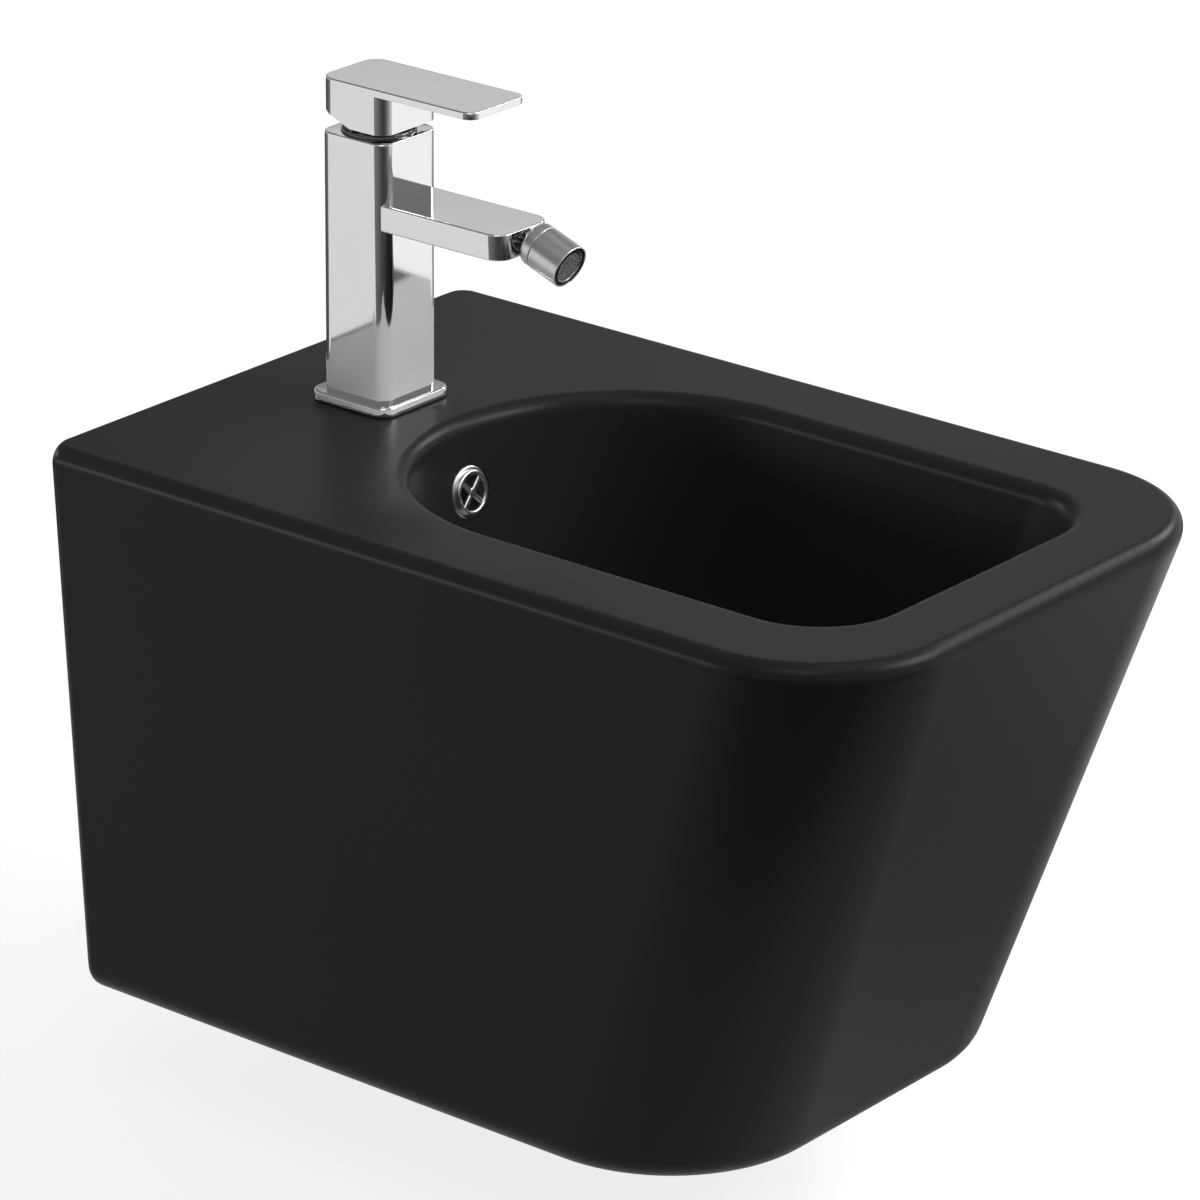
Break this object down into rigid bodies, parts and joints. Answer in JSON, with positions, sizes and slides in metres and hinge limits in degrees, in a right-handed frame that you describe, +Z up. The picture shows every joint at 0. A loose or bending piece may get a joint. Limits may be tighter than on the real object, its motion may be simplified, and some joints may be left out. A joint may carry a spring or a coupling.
{
  "type": "wall-hung bidet",
  "caption": "Wall-hung ceramic bidet with a tapered skirt and a deep rounded bowl, a square single-lever mixer tap with a swivel aerator, an overflow and a pop-up waste.",
  "frame": {"origin": "midway between the two wall bolts, on the wall plane", "axes": "+Z up, +Y into the wall, front towards -Y, +X to the right seen from the front"},
  "size_m": [0.3484, 0.5304, 0.5078],
  "materials": {
    "ceramic": "satin black glaze, opaque",
    "chrome": "polished",
    "dark_metal": "dark plated, satin",
    "brass": "machined",
    "steel": "brushed",
    "rubber": "matte",
    "dark_plastic": "matte",
    "white_plastic": "matte",
    "blue_plastic": "matte",
    "disc_ceramic": "ground, opaque"
  },
  "bodies": {
    "bidet": {"ball_stem": "dark_metal", "ball_stem_seal": "rubber", "base_gasket": "rubber", "base_plate": "chrome", "base_seals": "rubber", "cartridge_base": "white_plastic", "cartridge_housing": "white_plastic", "cartridge_nut": "brass", "ceramic_body": "ceramic", "cover_ring": "dark_metal", "faucet_body": "chrome", "fixed_disc": "disc_ceramic", "horseshoe_bracket": "steel", "horseshoe_washer": "rubber", "mounting_shank": "brass", "mounting_stud": "steel", "overflow_grille": "chrome", "overflow_ring": "chrome", "plug_guide": "white_plastic", "plug_spring": "steel", "stud_nut": "steel", "wall_bushes": "white_plastic", "waste_back_nut": "brass", "waste_body": "chrome", "waste_flange_gasket": "rubber", "waste_lower_gasket": "rubber", "waste_washer": "steel"},
    "carriage": {"cartridge_carriage": "blue_plastic", "stem_pin": "steel"},
    "lever": {"cartridge_stem": "steel", "lever_handle": "chrome", "handle_set_screw": "steel", "handle_plug": "dark_plastic"},
    "disc": {"moving_disc": "disc_ceramic", "disc_carrier": "blue_plastic"},
    "plug": {"waste_plug": "chrome", "plug_seal": "rubber", "plug_stem": "brass"},
    "liner": {"ball_liner": "white_plastic"},
    "aerator": {"swivel_collar": "chrome", "aerator_shell": "chrome", "aerator_core": "dark_plastic", "aerator_mesh": "steel", "aerator_seal": "dark_plastic"}
  },
  "joints": [
    {"name": "lever_swivel", "type": "hinge", "parent": "bidet", "child": "carriage", "pos_m": [0, -0.084, 0.2285], "axis": [0, 0, 1], "range_deg": [-45, 45]},
    {"name": "lever_lift", "type": "hinge", "parent": "carriage", "child": "lever", "pos_m": [0, -0.084, 0.2285], "axis": [-1, 0, 0], "range_deg": [0, 25]},
    {"name": "disc_slide", "type": "slide", "parent": "carriage", "child": "disc", "axis": [0, -1, 0], "range_m": [0, 0.0045]},
    {"name": "aerator_turn", "type": "hinge", "parent": "bidet", "child": "liner", "pos_m": [0, -0.1943, 0.19635], "axis": [0, 1, 0], "continuous": true},
    {"name": "aerator_tilt", "type": "hinge", "parent": "liner", "child": "aerator", "pos_m": [0, -0.1943, 0.19635], "axis": [1, 0, 0], "range_deg": [-20, 4]},
    {"name": "plug_press", "type": "slide", "parent": "bidet", "child": "plug", "axis": [0, 0, -1], "range_m": [0, 0.008], "stiffness_N_per_m": 400, "springref_m": -0.012, "deforming": ["plug_spring"]}
  ],
  "couplings": [
    {"joint": "disc_slide", "follows": "lever_lift", "m_per_rad": 0.0098}
  ]
}
